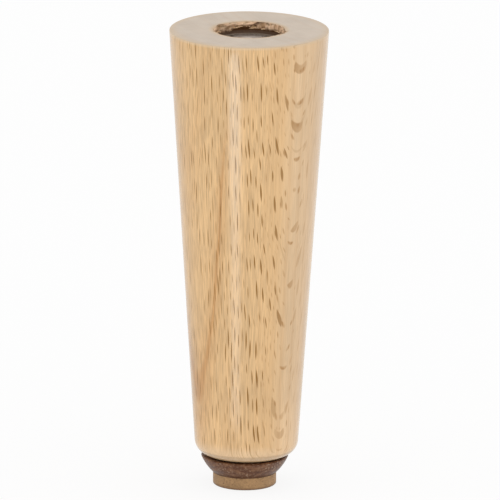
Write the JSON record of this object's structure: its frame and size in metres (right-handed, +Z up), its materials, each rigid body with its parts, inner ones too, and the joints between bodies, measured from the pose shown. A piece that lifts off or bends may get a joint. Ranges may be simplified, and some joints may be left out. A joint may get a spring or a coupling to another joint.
{
  "type": "wooden furniture leg",
  "caption": "Round tapered beech furniture leg with a threaded tee nut sunk in its wide end and a felt-padded glide nailed under its narrow foot.",
  "frame": {"origin": "on the leg's axis at the floor that the glide stands on", "axes": "+Z up along the leg's axis, out of the threaded end; the leg is seen from -Y, with +X to the right"},
  "size_m": [0.0512, 0.0512, 0.15],
  "materials": {
    "beech": "satin lacquer on the side, bare sanded end grain",
    "nut_steel": "dull zinc plate",
    "brown_plastic": "marbled satin",
    "nail_steel": "bright wire",
    "felt": "pressed and flecked"
  },
  "bodies": {
    "root": {"leg": "beech", "tee_nut": "nut_steel", "glide_base": "brown_plastic", "glide_nail": "nail_steel", "glide_pad": "felt"}
  },
  "joints": []
}
